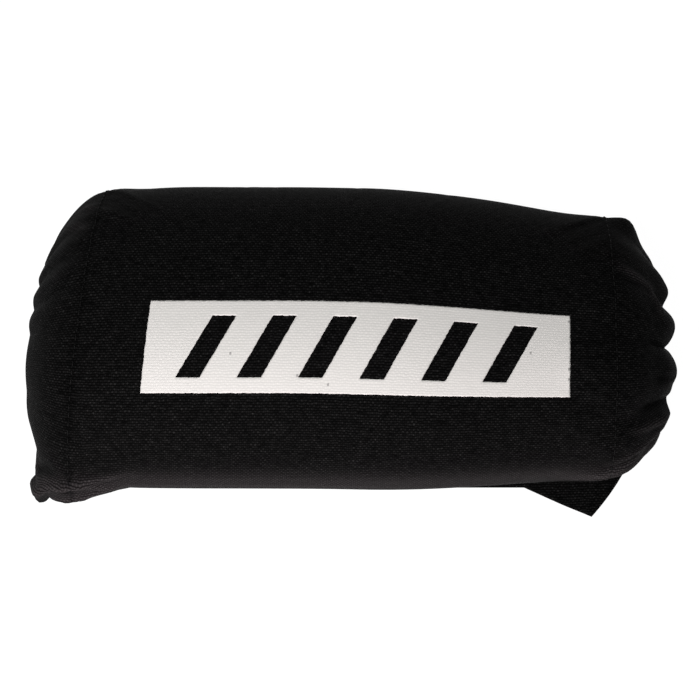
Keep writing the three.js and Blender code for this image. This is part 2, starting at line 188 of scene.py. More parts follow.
def quarter(t, exponent):
    """A quarter of a superellipse, from (1, 0) at t = 0 to (0, 1) at t = 1."""
    angle = np.clip(t, 0, 1) * math.pi / 2
    return np.clip(np.cos(angle), 0, 1) ** (2 / exponent), np.clip(np.sin(angle), 0, 1) ** (2 / exponent)


def arc_table(xs, ys):
    """The distance along a curve at each of its points."""
    return np.concatenate([[0], np.cumsum(np.hypot(np.diff(xs), np.diff(ys)))])


def section(t, width, height):
    """The cloth's path round the pad: lapped edge, far side, front, near side and inner flap.

    t runs from 0 to 6, one for each of the six pieces of the path.
    """
    half = width / 2
    reach = CORNER_REACH * width / BODY_WIDTH
    middle = mix(LAP_LEVEL, height, SHOULDER)
    piece = np.minimum(5, np.floor(t))
    f = t - piece
    down, out = quarter(f, 2)
    wide, up = quarter(f, TOP_ROUNDNESS)
    ys = [
        mix(CLOTH_EDGE, half - reach, f),
        half - reach + reach * out,
        half * wide,
        -half * up,
        -(half - reach + reach * down),
        mix(-(half - reach), -CLOTH_EDGE, f),
    ]
    zs = [
        LAP_LEVEL + 0 * half,
        middle - (middle - LAP_LEVEL) * down,
        middle + (height - middle) * up,
        middle + (height - middle) * wide,
        middle - (middle - INNER_LEVEL) * out,
        INNER_LEVEL + 0 * half,
    ]
    chosen = [piece == i for i in range(6)]
    shape = np.broadcast(t, half).shape
    return (
        np.select([np.broadcast_to(k, shape) for k in chosen], [np.broadcast_to(y, shape) for y in ys]),
        np.select([np.broadcast_to(k, shape) for k in chosen], [np.broadcast_to(z, shape) for z in zs]),
    )


# The cloth's girth, and the stretch of the section at each share of it.
STRETCHES = np.linspace(0, 6, 3001)
GIRTH_AT = arc_table(*section(STRETCHES, np.array(BODY_WIDTH), np.array(BODY_HEIGHT)))
GIRTH = GIRTH_AT[-1]


def stretch_at(c):
    return np.interp(np.asarray(c) * GIRTH, GIRTH_AT, STRETCHES)


# About how far the body's surface lies from its axis.
MEAN_RADIUS = (BODY_WIDTH / 2 + BODY_HEIGHT) / 2.5


def measure_cap(end):
    """The arc of one end's cap, and the length of cloth on it up to the mouth."""
    steps = np.linspace(0, 1, 2001)
    left, along = quarter(steps, end["roundness"])
    depth = (end["far"] + end["near"]) / 2
    end["arc"] = arc_table(depth * along, MEAN_RADIUS * left)
    end["steps"] = steps
    rim = 2 / math.pi * math.acos(end["mouth"] ** (end["roundness"] / 2))
    end["cap"] = float(np.interp(rim, steps, end["arc"]))


for one in (LEFT, RIGHT):
    measure_cap(one)
STRAIGHT = (LEFT["reach"] + RIGHT["reach"] - LEFT["far"] - RIGHT["far"]) / 2
for one in (LEFT, RIGHT):
    one["rim"] = STRAIGHT + one["cap"]


def end_at(end, distance):
    return quarter(np.interp(distance, end["arc"], end["steps"]), end["roundness"])


# Local moves of the cloth, at places in millimetres along it and shares of its girth: the neck above the ear,
# the nip between the ear's two halves, the fuller corners of the right end, and a far side that is fuller on
# the right and slacker on the left. Minus is outwards at the right end and on the far side.
BUNCHES = [
    dict(along=-100, length=9.0, girth=0.750, spread=0.030, out=0, sideways=-2.6),
    dict(along=-99, length=5.0, girth=0.783, spread=0.010, out=0, sideways=-1.8),
    dict(along=-88, length=2.0, girth=0.835, spread=0.030, out=-1.2, sideways=0),
    dict(along=98, length=14, girth=0.345, spread=0.040, out=0, sideways=-2.2),
    dict(along=98, length=8, girth=0.650, spread=0.022, out=0, sideways=-1.3),
    dict(along=82, length=4.5, girth=0.272, spread=0.024, out=-3.2, sideways=-1.0),
    dict(along=44, length=26, girth=0.250, spread=0.070, out=-1.3, sideways=0),
    dict(along=-72, length=12, girth=0.250, spread=0.070, out=1.0, sideways=0),
]

# The ear at the lower left corner: how far its edge stands out, in millimetres, at distances along the cloth,
# and the shares of the girth over which it rises on the near side and falls away underneath.
EAR = dict(
    along=[-98, -96, -94, -92, -90, -88, -86, -83, -80, -77, -74, -70, -65, -60],
    out=[16.6, 17.0, 16.0, 14.0, 11.8, 9.8, 8.3, 6.8, 5.6, 4.5, 3.5, 2.2, 0.9, 0],
    rise=(0.68, 0.825),
    fall=(0.845, 0.885),
    down=0.12,
)


def ear(e, c):
    out = np.interp(e, EAR["along"], EAR["out"])
    return out * smooth(*EAR["rise"], c) * (1 - smooth(*EAR["fall"], c))


# Soft ridges in the cloth from one place to another, each as (distance along, share of the girth), with its
# width and height in millimetres.
WRINKLES = [
    dict(start=(-95, 0.800), end=(-72, 0.765), width=1.2, height=1.8),
    dict(start=(-90, 0.820), end=(-60, 0.792), width=1.3, height=1.5),
    dict(start=(-76, 0.770), end=(-58, 0.756), width=1.1, height=1.1),
    dict(start=(-74, 0.765), end=(-64, 0.795), width=1.1, height=0.9),
    dict(start=(-96, 0.762), end=(-82, 0.748), width=1.8, height=-1.2),
    dict(start=(-91, 0.788), end=(-72, 0.781), width=1.4, height=-0.8),
    dict(start=(-84, 0.300), end=(-74, 0.345), width=1.5, height=0.6),
    dict(start=(-88, 0.330), end=(-76, 0.380), width=1.6, height=0.5),
    dict(start=(-76, 0.798), end=(30, 0.801), width=1.0, height=0.7),
    dict(start=(-50, 0.812), end=(78, 0.808), width=1.0, height=0.7),
    dict(start=(66, 0.785), end=(88, 0.755), width=1.2, height=1.0),
    dict(start=(60, 0.800), end=(88, 0.780), width=1.2, height=0.9),
    dict(start=(74, 0.750), end=(92, 0.715), width=1.4, height=0.9),
    dict(start=(82, 0.650), end=(95, 0.668), width=2.6, height=-1.7),
    dict(start=(80, 0.690), end=(96, 0.700), width=1.3, height=1.0),
    dict(start=(84, 0.525), end=(98, 0.525), width=1.6, height=-1.5),
    dict(start=(86, 0.600), end=(95, 0.605), width=2.0, height=-0.8),
    dict(start=(87, 0.395), end=(89, 0.475), width=1.2, height=1.1),
    dict(start=(92, 0.400), end=(93, 0.460), width=1.7, height=-1.1),
    dict(start=(76, 0.395), end=(88, 0.410), width=1.8, height=0.8),
]


def body(e, c):
    """Middle surface of the cloth. e runs along the pad and c, from 0 to 1, round it."""
    t = stretch_at(c)
    full_y, full_z = section(t, np.array(BODY_WIDTH), np.array(BODY_HEIGHT))
    across = 2 * full_y / BODY_WIDTH
    raised = smooth(0, SHOULDER, full_z / BODY_HEIGHT)
    nearness = (1 - across) / 2
    start = {one["side"]: one["reach"] - mix(one["far"], one["near"], nearness) for one in (LEFT, RIGHT)}
    x = mix(-start[-1], start[1], (e + STRAIGHT) / (2 * STRAIGHT))
    size = np.ones(np.broadcast(e, c).shape)
    for one in (LEFT, RIGHT):
        past = e * one["side"] - STRAIGHT
        left, along = end_at(one, np.maximum(past, 0))
        reach = start[one["side"]] + mix(one["far"], one["near"], nearness) * along
        reach = reach + one["bulge"] * (1 - (across - one["tilt"]) ** 2) * raised * along
        x = np.where(past > 0, one["side"] * reach, x)
        size = np.where(past > 0, left, size)
    taper = smooth(*TAPER, x)
    width = mix(BODY_WIDTH, NARROW_WIDTH, taper) * size
    height = mix(BODY_HEIGHT, NARROW_HEIGHT, taper) * size
    y, z = section(t, width, height)
    y = y - LEAN * smooth(*LEAN_RUN, x)
    for bunch in BUNCHES:
        share = bell((e - bunch["along"]) / bunch["length"]) * bell((c - bunch["girth"]) / bunch["spread"])
        x = x - bunch["sideways"] * share
        y = y - bunch["out"] * share
    y = y - ear(e, c)
    z = z - EAR["down"] * ear(e, c)
    return np.stack([x, y, z], axis=-1)


def normals_of(points):
    """Outward normals of a grid of points whose rows run along the pad and whose columns run round it."""
    along = np.gradient(points, axis=0)
    around = np.gradient(points, axis=1)
    n = np.cross(around, along)
    return n / np.maximum(np.linalg.norm(n, axis=-1, keepdims=True), 1e-9)


def lobes(end, c):
    """Height of one end's gathers at each share of the girth: round lobes with sharp valleys between them."""
    valleys = np.array(end["valleys"])
    i = np.clip(np.searchsorted(valleys, c, side="right") - 1, 0, len(valleys) - 2)
    f = (c - valleys[i]) / (valleys[i + 1] - valleys[i])
    low = math.sqrt(VALLEY_SHARPNESS)
    high = math.sqrt(1 + VALLEY_SHARPNESS)
    raised = (np.sqrt(np.sin(np.pi * f) ** 2 + VALLEY_SHARPNESS) - low) / (high - low)
    return raised * np.array(end["heights"])[i]


def gathers(e, c):
    """How far the gathered cloth stands out past the body."""
    total = np.zeros(np.broadcast(e, c).shape)
    sides = smooth(*FLAT_LAPPED, c) * (1 - smooth(*FLAT_INNER, c))
    for one in (LEFT, RIGHT):
        away = one["rim"] - e * one["side"]
        inward = np.maximum(away, 0)
        drift = VALLEY_DRIFT * np.sin(0.11 * inward + 23 * c) * smooth(0, 12, away)
        height = lobes(one, np.clip(c + drift, 0, 1 - 1e-9))
        ruffle = one["ruffle"] * (1 - smooth(*RUFFLE, away))
        run = (1 - one["ruffle"]) * (1 - smooth(CASING, CASING + one["fade"], away))
        drawn = 1 - SEAM_DRAW * bell((away - CASING) / SEAM_DRAW_WIDTH)
        total = total + (ruffle + run) * drawn * sides * height * (away < GATHER_REACH)
        ripple = np.sin(2 * math.pi * c * GIRTH / PUCKER_PITCH + 2.5 * np.sin(31 * c))
        total = total + one["pucker"] * ripple * bell((away - CASING) / PUCKER_REACH) * sides
        total = total - SEAM_DEPTH * bell((away - CASING) / SEAM_WIDTH) * sides
    return total + wrinkles(e, c)


def wrinkles(e, c):
    """Height of the soft ridges and hollows, each of which fades in and out along its run."""
    total = np.zeros(np.broadcast(e, c).shape)
    for one in WRINKLES:
        a = np.array([one["start"][0], one["start"][1] * GIRTH])
        b = np.array([one["end"][0], one["end"][1] * GIRTH])
        run = b - a
        length = np.linalg.norm(run)
        share = ((e - a[0]) * run[0] + (c * GIRTH - a[1]) * run[1]) / length**2
        off = ((e - a[0]) * run[1] - (c * GIRTH - a[1]) * run[0]) / length
        ends = smooth(-0.15, 0.35, share) * (1 - smooth(0.55, 1.15, share))
        total = total + one["height"] * bell(off / one["width"]) * ends
    return total


def cover_surface(es, cs):
    e, c = np.meshgrid(es, cs, indexing="ij")
    base = body(e, c)
    return base + normals_of(base) * gathers(e, c)[..., None]


# Meshes from grids.
def place(points):
    """Points of the pad, in millimetres on its own axis, as metres in the row frame."""
    return (points + np.array([AXIS_X, AXIS_Y, 0])) * MM


def new_object(name, vertices, faces, material=None):
    mesh = bpy.data.meshes.new(name)
    mesh.from_pydata(vertices.reshape(-1, 3).tolist(), [], faces)
    mesh.update()
    piece = bpy.data.objects.new(name, mesh)
    bpy.context.collection.objects.link(piece)
    for polygon in mesh.polygons:
        polygon.use_smooth = True
    if material:
        mesh.materials.append(material)
    return piece


def grid_faces(rows, cols, keep=None):
    faces = []
    for i in range(rows - 1):
        for j in range(cols - 1):
            if keep is None or keep[i, j]:
                a = i * cols + j
                faces.append((a, a + 1, a + cols + 1, a + cols))
    return faces


def add_uv(piece, us, vs):
    """Lays out the cloth flat, in metres, so that the weave keeps its scale and its direction."""
    layer = piece.data.uv_layers.new(name="flat")
    flat = np.stack([us.reshape(-1), vs.reshape(-1)], axis=-1) * MM
    loops = np.zeros(len(piece.data.loops), dtype=np.int64)
    piece.data.loops.foreach_get("vertex_index", loops)
    layer.data.foreach_set("uv", flat[loops].astype(np.float32).reshape(-1))


def add_painted_light(piece, e, c):
    """Lays painted light into the cloth's colour: a painted highlight on the crests of the folds and along
    the lower front edge.

    Below zero it lays painted shade in the hollows and in the groove along each hem seam.
    """
    painted_light = wrinkles(e, c) + EDGE_HIGHLIGHT * bell((c - EDGE_HIGHLIGHT_AT) / EDGE_HIGHLIGHT_SPREAD)
    for one in (LEFT, RIGHT):
        painted_light = painted_light - one["seam_shade"] * bell((one["rim"] - e * one["side"] - CASING) / SEAM_WIDTH)
    layer = piece.data.attributes.new(name="painted_light", type="FLOAT", domain="POINT")
    layer.data.foreach_set("value", np.clip(painted_light, -1, 1.5).astype(np.float32).reshape(-1))


def thicken(piece, thickness, offset=0):
    shell = piece.modifiers.new("thickness", "SOLIDIFY")
    shell.thickness = thickness * MM
    shell.offset = offset
    shell.use_even_offset = False
    return shell


# The cloth simulation. The cover is cut a little too big near its ends and along its lower front edge, held
# at its mouths, hem seams and underside, and pressed out from inside. Only the creases it makes are kept.
SIM_SCALE = 10
SIM_FRAMES = 20
PRESSURE = 4
END_SLACK = 0.07
EDGE_SLACK = 0.05
SLACK_REACH = 40
CREASE_OUT = 1.3
CREASE_IN = 0.8
# How firmly the cloth is held: everywhere, at the hem seams, and at the mouths and underneath.
HELD_LIGHTLY = 0.03
HELD_AT_SEAM = 0.6
HELD_FAST = 1
MOUTH_BAND = 1.5
SEAM_BAND = 0.8
UNDERSIDE = (0.13, 0.87)
LOWER_EDGE = (0.68, 0.74, 0.80, 0.86)
FREE_CLOTH = (0.13, 0.2, 0.82, 0.87)
SOLVER = dict(
    quality=5,
    mass=0.12,
    tension_stiffness=40,
    compression_stiffness=40,
    shear_stiffness=12,
    bending_stiffness=0.4,
    air_damping=4,
    use_pressure=True,
    uniform_pressure_force=PRESSURE,
    vertex_group_mass="held",
    pin_stiffness=2,
)


def between(places, c):
    """From 0 to 1 over the first two places and back to 0 over the last two."""
    return smooth(places[0], places[1], c) * (1 - smooth(places[2], places[3], c))


def sim_object(es, cs, points):
    """A temporary copy of the cloth at the solver's scale, with the shape it was cut to and its pins."""
    scale = SIM_SCALE * MM
    rows, cols = points.shape[:2]
    piece = new_object("cloth_at_work", points * scale, grid_faces(rows, cols))
    e, c = np.meshgrid(es, cs, indexing="ij")
    from_rim = np.minimum(e + LEFT["rim"], RIGHT["rim"] - e)
    at_end = 1 - smooth(CASING * 0.6, SLACK_REACH, from_rim)
    at_edge = between(LOWER_EDGE, c)
    slack = 1 + END_SLACK * at_end + EDGE_SLACK * at_edge * (1 - at_end)
    cut_out = points.copy()
    middle = np.array([0, BODY_HEIGHT / 2])
    cut_out[..., 1:] = middle + (points[..., 1:] - middle) * slack[..., None]
    piece.shape_key_add(name="Basis")
    key = piece.shape_key_add(name="cut")
    key.data.foreach_set("co", (cut_out * scale).reshape(-1))
    held = np.full(e.shape, HELD_LIGHTLY)
    held[from_rim < MOUTH_BAND] = HELD_FAST
    held[np.abs(from_rim - CASING) < SEAM_BAND] = HELD_AT_SEAM
    held[(c < UNDERSIDE[0]) | (c > UNDERSIDE[1])] = HELD_FAST
    group = piece.vertex_groups.new(name="held")
    for weight in np.unique(held):
        group.add(np.flatnonzero(held.reshape(-1) == weight).tolist(), float(weight), "REPLACE")
    return piece, key


def creases(es, cs, points):
    """How far the simulation moves each point of the cloth, in millimetres, kept within its caps."""
    piece, key = sim_object(es, cs, points)
    settings = piece.modifiers.new("cloth", "CLOTH").settings
    for name, value in SOLVER.items():
        setattr(settings, name, value)
    settings.effector_weights.gravity = 0
    settings.rest_shape_key = key
    for frame_number in range(1, SIM_FRAMES + 1):
        bpy.context.scene.frame_set(frame_number)
    shaped = piece.evaluated_get(bpy.context.evaluated_depsgraph_get())
    moved = np.zeros(len(shaped.data.vertices) * 3)
    shaped.data.vertices.foreach_get("co", moved)
    moved = moved.reshape(points.shape) / (SIM_SCALE * MM) - points
    bpy.data.objects.remove(piece, do_unlink=True)
    bpy.context.scene.frame_set(1)
    return kept_creases(cs, points, moved)


def kept_creases(cs, points, moved):
    """The part of the movement along the normals, within its caps, so that nothing dips into the foam."""
    n = normals_of(points)
    out = (moved * n).sum(axis=-1)
    c = np.broadcast_to(cs, out.shape)
    out = np.where(out > 0, CREASE_OUT * np.tanh(out / CREASE_OUT), CREASE_IN * np.tanh(out / CREASE_IN))
    return n * (out * between(FREE_CLOTH, c))[..., None]


# The cover: the distance between its rows, the columns round it, and the steps of the hem's turn.
ROWS_STEP = 1.25
COLUMNS = 210
TURN_STEPS = 6


def cover_rows():
    span = LEFT["rim"] + RIGHT["rim"]
    return np.linspace(-LEFT["rim"], RIGHT["rim"], int(span / ROWS_STEP) + 1)


def hem_rows(end, es, points):
    """The folded hem of one end: its turn and its inner layer, offset from the outer layer's own rows."""
    n = normals_of(points)
    order = range(len(es)) if end["side"] < 0 else range(len(es) - 1, -1, -1)
    rim_row = next(iter(order))
    outwards = points[rim_row] - points[rim_row + (1 if end["side"] < 0 else -1)]
    outwards = outwards / np.linalg.norm(outwards, axis=-1, keepdims=True)
    rows, lengths = [], []
    for k in range(1, TURN_STEPS):
        angle = math.pi * k / TURN_STEPS
        ring = points[rim_row] - n[rim_row] * HEM_TURN * (1 - math.cos(angle))
        rows.append(ring + outwards * HEM_TURN * math.sin(angle))
        lengths.append(end["rim"] + HEM_TURN * angle)
    for row in order:
        back = end["rim"] - es[row] * end["side"]
        if back > CASING - RAW_EDGE:
            break
        rows.append(points[row] - n[row] * 2 * HEM_TURN)
        lengths.append(end["rim"] + HEM_TURN * math.pi + back)
    return rows, [length * end["side"] for length in lengths]


def make_cover(material):
    es = cover_rows()
    cs = np.linspace(0, 1, COLUMNS + 1)
    outer = cover_surface(es, cs)
    outer = outer + creases(es, cs, outer)
    left_rows, left_lengths = hem_rows(LEFT, es, outer)
    right_rows, right_lengths = hem_rows(RIGHT, es, outer)
    points = np.array(left_rows[::-1] + list(outer) + right_rows)
    lengths = np.array(left_lengths[::-1] + list(es) + right_lengths)
    rows, cols = points.shape[:2]
    piece = new_object("cover_cloth", place(points), grid_faces(rows, cols), material)
    us, vs = np.meshgrid(lengths, cs * GIRTH, indexing="ij")
    add_uv(piece, us, vs)
    add_painted_light(piece, us, vs / GIRTH)
    thicken(piece, CLOTH)
    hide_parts("cover")
    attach(piece, "root")
    return Cloth(es, cs, outer)


class Cloth:
    """The finished cloth. It gives a place on it from the distance along it and the share of its girth."""

    def __init__(self, es, cs, points):
        self.es, self.cs, self.points, self.normals = es, cs, points, normals_of(points)

    def at(self, e, c, off=0.0):
        fi = np.interp(e, self.es, np.arange(len(self.es)))
        fj = np.interp(c, self.cs, np.arange(len(self.cs)))
        i = np.minimum(fi.astype(int), len(self.es) - 2)
        j = np.minimum(fj.astype(int), len(self.cs) - 2)
        a, b = (fi - i)[..., None], (fj - j)[..., None]

        def blend(grid):
            low = mix(grid[i, j], grid[i, j + 1], b)
            high = mix(grid[i + 1, j], grid[i + 1, j + 1], b)
            return mix(low, high, a)

        n = blend(self.normals)
        n = n / np.linalg.norm(n, axis=-1, keepdims=True)
        return blend(self.points) + n * off


# The elastic in each hem, drawn flat in its casing under the gathers, with the ribs that run along it.
ELASTIC_WIDTH = 7
ELASTIC_THICKNESS = 0.5
ELASTIC_RIBS = 7
ELASTIC_RIB_HEIGHT = 0.08


def make_elastic(cloth, end, name, node, material):
    """One elastic, in the middle of its casing and inside the cloth's outer layer."""
    near = (CASING - ELASTIC_WIDTH) / 2
    back = np.linspace(near, near + ELASTIC_WIDTH, 4 * ELASTIC_RIBS + 1)
    cs = np.linspace(0, 1, COLUMNS + 1)
    e, c = np.meshgrid(end["side"] * (end["rim"] - back), cs, indexing="ij")
    if end["side"] > 0:
        e = e[::-1]
    across = (end["rim"] - np.abs(e) - near) / ELASTIC_WIDTH
    ribs = ELASTIC_RIB_HEIGHT * np.cos(2 * math.pi * ELASTIC_RIBS * across)
    points = cloth.at(e, c, -HEM_TURN)
    points = points + (cloth.at(e, c, 0) - points) / HEM_TURN * ribs[..., None]
    piece = new_object(name, place(points), grid_faces(*e.shape), material)
    add_uv(piece, e, c * GIRTH)
    thicken(piece, ELASTIC_THICKNESS)
    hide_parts(node)
    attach(piece, "root")


# Stitches: each is a short thread that dips into the cloth at both ends. STITCH_SHAPE gives, along it, its
# height over the cloth and its share of the radius. FLAP_STITCH_SINK is how far the flap's lie in its cloth.
STITCH_PITCH = 2.6
STITCH_LENGTH = 2.0
STITCH_RADIUS = 0.2
STITCH_SIDES = 6
FLAP_STITCH_SINK = 0.3
HEM_SEAM_RUN = (0.004, 0.996)
HEM_SEAM_POINTS = 400
SIDE_POINTS = 60
# The flap's seams, as shares of its length and width: two rows at the sewn edge and a box round the tape.
FLAP_SEAMS = [
    [(0.02, 0.035), (0.98, 0.035)],
    [(0.02, 0.075), (0.98, 0.075)],
    [(0.175, 0.70), (0.825, 0.70), (0.825, 0.86), (0.175, 0.86), (0.175, 0.70)],
]
STITCH_SHAPE = [(0, -0.3, 0.3), (0.2, 0.12, 0.9), (0.5, 0.2, 1), (0.8, 0.12, 0.9), (1, -0.3, 0.3)]


def stitch_mesh(a, b, up):
    """One stitch from a to b, as rings of points and the faces between them."""
    run = (b - a) / np.linalg.norm(b - a)
    side = np.cross(up, run)
    angles = np.arange(STITCH_SIDES) * 2 * math.pi / STITCH_SIDES
    spokes = [side * math.cos(t) + up * math.sin(t) for t in angles]
    rings = []
    for share, lift, thickness in STITCH_SHAPE:
        centre = mix(a, b, share) + up * lift
        rings += [centre + STITCH_RADIUS * thickness * spoke for spoke in spokes]
    faces = []
    for i in range(len(STITCH_SHAPE) - 1):
        for j in range(STITCH_SIDES):
            k = (j + 1) % STITCH_SIDES
            m = i * STITCH_SIDES
            faces.append((m + j, m + k, m + STITCH_SIDES + k, m + STITCH_SIDES + j))
    last = (len(STITCH_SHAPE) - 1) * STITCH_SIDES
    faces.append(tuple(range(STITCH_SIDES))[::-1])
    faces.append(tuple(last + j for j in range(STITCH_SIDES)))
    return rings, faces


def point_on(line, at, distance):
    return np.array([np.interp(distance, at, line[:, k]) for k in range(3)])


def sew(name, seams, material):
    """Rows of stitches. Each seam is a line of points on the cloth and the outward directions there."""
    vertices, faces = [], []
    for points, ups in seams:
        at = np.concatenate([[0], np.cumsum(np.linalg.norm(np.diff(points, axis=0), axis=1))])
        starts = np.arange(STITCH_PITCH / 2, at[-1] - STITCH_LENGTH, STITCH_PITCH)
        for start in starts:
            a = point_on(points, at, start)
            b = point_on(points, at, start + STITCH_LENGTH)
            up = point_on(ups, at, start + STITCH_LENGTH / 2)
            ring, sides = stitch_mesh(a, b, up / np.linalg.norm(up))
            faces += [tuple(len(vertices) + i for i in face) for face in sides]
            vertices += ring
    piece = new_object(name, place(np.array(vertices)), faces, material)
    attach(piece, "root")


def hem_seam(cloth, end):
    """The row of stitches that closes one hem, on the outside of the cloth."""
    cs = np.linspace(*HEM_SEAM_RUN, HEM_SEAM_POINTS)
    e = np.full_like(cs, end["side"] * (end["rim"] - CASING))
    points = cloth.at(e, cs, CLOTH / 2)
    return points, cloth.at(e, cs, CLOTH / 2 + 1) - points


def flap_seam(corners):
    """A row of stitches under the flap from corner to corner."""
    u, v = np.array(corners).T
    steps = np.linspace(0, len(corners) - 1, SIDE_POINTS * (len(corners) - 1) + 1)
    order = np.arange(len(corners))
    points = flap_point(np.interp(steps, order, u), np.interp(steps, order, v))
    down = np.array([0, 0, -1.0])
    return points + down * (CLOTH / 2 - FLAP_STITCH_SINK), np.tile(down, (len(points), 1))


def make_stitches(cloth, material):
    sew("hem_stitches", [hem_seam(cloth, LEFT), hem_seam(cloth, RIGHT)], material)
    sew("flap_stitches", [flap_seam(corners) for corners in FLAP_SEAMS], material)


# The printed band: its ends along the pad, its height, its place across the front, and its slanted slots. Its
# edges are RAGGED, because the ink follows the threads.
PRINT = dict(
    left=-57.5,
    right=66,
    height=27,
    offset=-11.2,
    rail=4.5,
    slots=6,
    slot_width=7,
    slant=9,
    film=0.1,
)
PRINT_STEP = 0.55
RAGGED = 0.09
# The shares of the girth between which the front lies.
FRONT = (0.3, 0.7)


def along_at(x):
    """The distance along the cloth whose front lies at x."""
    left_start = LEFT["reach"] - (LEFT["far"] + LEFT["near"]) / 2
    right_start = RIGHT["reach"] - (RIGHT["far"] + RIGHT["near"]) / 2
    return STRAIGHT * (2 * (x + left_start) / (left_start + right_start) - 1)


def share_at(y):
    """The share of the girth at which the front crosses y."""
    cs = np.linspace(*FRONT, 2001)
    ys = section(stretch_at(cs), np.array(BODY_WIDTH), np.array(BODY_HEIGHT))[0]
    return float(cs[np.argmin(np.abs(ys - y))])


def stations(edges, step):
    """Evenly spaced places between each pair of edges, with every edge kept."""
    out = [edges[0]]
    for a, b in zip(edges, edges[1:]):
        out.extend(np.linspace(a, b, max(1, round((b - a) / step)) + 1)[1:])
    return np.array(out)


def make_print(cloth, material):
    half = PRINT["height"] / 2
    slot_half = half - PRINT["rail"]
    pitch = (PRINT["right"] - PRINT["left"]) / (PRINT["slots"] + 1)
    centres = [PRINT["left"] + pitch * (i + 1) for i in range(PRINT["slots"])]
    edges = [PRINT["left"]]
    for centre in centres:
        edges += [centre - PRINT["slot_width"] / 2, centre + PRINT["slot_width"] / 2]
    xs = stations(edges + [PRINT["right"]], PRINT_STEP)
    ss = stations([-half, -slot_half, slot_half, half], PRINT_STEP)
    x, s = np.meshgrid(xs, ss, indexing="ij")
    lean = smooth(PRINT["left"], edges[1], x) * (1 - smooth(edges[-1], PRINT["right"], x))
    leaning = x + PRINT["slant"] * lean * s / (2 * slot_half) * (np.abs(s) <= slot_half + 1e-6)
    leaning = leaning + PRINT["slant"] / 2 * lean * np.sign(s) * (np.abs(s) > slot_half + 1e-6)
    mid_x, mid_s = (xs[1:] + xs[:-1]) / 2, (ss[1:] + ss[:-1]) / 2
    in_slot = np.array([any(abs(m - k) < PRINT["slot_width"] / 2 for k in centres) for m in mid_x])
    keep = ~(in_slot[:, None] & (np.abs(mid_s) < slot_half)[None, :])
    jitter = random_source.uniform(-RAGGED, RAGGED, (2,) + x.shape)
    e = along_at(leaning + jitter[0])
    c = share_at(PRINT["offset"]) - (s + jitter[1]) / GIRTH
    points = cloth.at(e, c, CLOTH / 2 + PRINT["film"] / 2)
    piece = new_object("printed_ink", place(points), grid_faces(*x.shape, keep), material)
    add_uv(piece, e, c * GIRTH)
    loose_vertices_removed(piece)
    thicken(piece, PRINT["film"])
    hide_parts("printed_band")
    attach(piece, "root")


def loose_vertices_removed(piece):
    mesh = piece.data
    used = {v for polygon in mesh.polygons for v in polygon.vertices}
    bm = bmesh.new()
    bm.from_mesh(mesh)
    bm.verts.ensure_lookup_table()
    bmesh.ops.delete(bm, geom=[v for v in bm.verts if v.index not in used], context="VERTS")
    bm.to_mesh(mesh)
    bm.free()


# The closing flap: how far its free edge stays back from the near side, its turned corner, the half length of
# its sewn edge, how much its ends slope, the mesh's step, and the size it is cut to, in metres.
FLAP_FREE_EDGE = 3.5
FLAP_CORNER = dict(start=55, tip=75.5, out=9.5, lift=1.6, depth=32, taper=2.6)
FLAP_ENDS = 95
FLAP_SLOPE = 16
FLAP_STEP = 1.2


def flap_point(u, v):
    sewn = BODY_WIDTH / 2 - CORNER_REACH
    free = -(BODY_WIDTH / 2 - FLAP_FREE_EDGE)
    y0 = mix(sewn, free, v)
    slope = FLAP_SLOPE * np.clip(y0 / sewn, 0, 1) ** 2
    to_tip = (FLAP_ENDS - FLAP_CORNER["tip"]) * np.clip(y0 / free, 0, 1) ** FLAP_CORNER["taper"]
    x = mix(slope - FLAP_ENDS, FLAP_ENDS - slope - to_tip, u)
    corner = np.clip((x - FLAP_CORNER["start"]) / (FLAP_CORNER["tip"] - FLAP_CORNER["start"]), 0, 1)
    corner = corner * np.clip(1 - (y0 - free) / FLAP_CORNER["depth"], 0, 1)
    y = y0 - FLAP_CORNER["out"] * corner
    lift = FLAP_CORNER["lift"] * corner * smooth(TAPE_LENGTH / 2 + EDGE_MARGIN, FLAP_CORNER["tip"], x)
    return np.stack([x, y, CLOTH / 2 + lift], axis=-1)


def make_flap(material):
    us = np.linspace(0, 1, int(2 * FLAP_ENDS / FLAP_STEP) + 1)
    vs = np.linspace(0, 1, int(BODY_WIDTH / FLAP_STEP) + 1)
    u, v = np.meshgrid(us, vs, indexing="ij")
    points = flap_point(u, v)
    piece = new_object("flap_cloth", place(points), grid_faces(*u.shape), material)
    add_uv(piece, points[..., 0], -points[..., 1])
    thicken(piece, CLOTH)
    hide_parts("closing_flap")
    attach(piece, "root")


# The foam block. FOAM_EASE is how far it stays back, so that no crease in the cloth dips into it. The bar's
# channel lies within CHANNEL_REACH of the axis and of the floor.
FOAM_EASE = 1.2
CHANNEL_REACH = (20, 25)
SAME_POINT = 0.01
FOAM_END_FACING = 0.3
FOAM_SHARP = math.radians(35)


def ease_in(mesh, matrix):
    """Joins the foam's faces and moves its outside in a little. The bar's channel keeps its section."""
    bm = bmesh.new()
    bm.from_mesh(mesh)
    bmesh.ops.remove_doubles(bm, verts=bm.verts, dist=SAME_POINT * MM)
    bm.normal_update()
    for vertex, move in [(vertex, vertex.normal.copy()) for vertex in bm.verts]:
        at = (matrix @ vertex.co) / MM
        at_end = abs(move.x) > FOAM_END_FACING
        if abs(at.y - AXIS_Y) <= CHANNEL_REACH[0] and at.z <= CHANNEL_REACH[1]:
            move = Vector((move.x if at_end else 0, 0, 0))
        if at_end:
            move.x = math.copysign(1, move.x)
        vertex.co -= move * FOAM_EASE * MM
    bm.to_mesh(mesh)
    bm.free()
    if "custom_normal" in mesh.attributes:
        mesh.attributes.remove(mesh.attributes["custom_normal"])
    for polygon in mesh.polygons:
        polygon.use_smooth = True
    mesh.set_sharp_from_angle(angle=FOAM_SHARP)


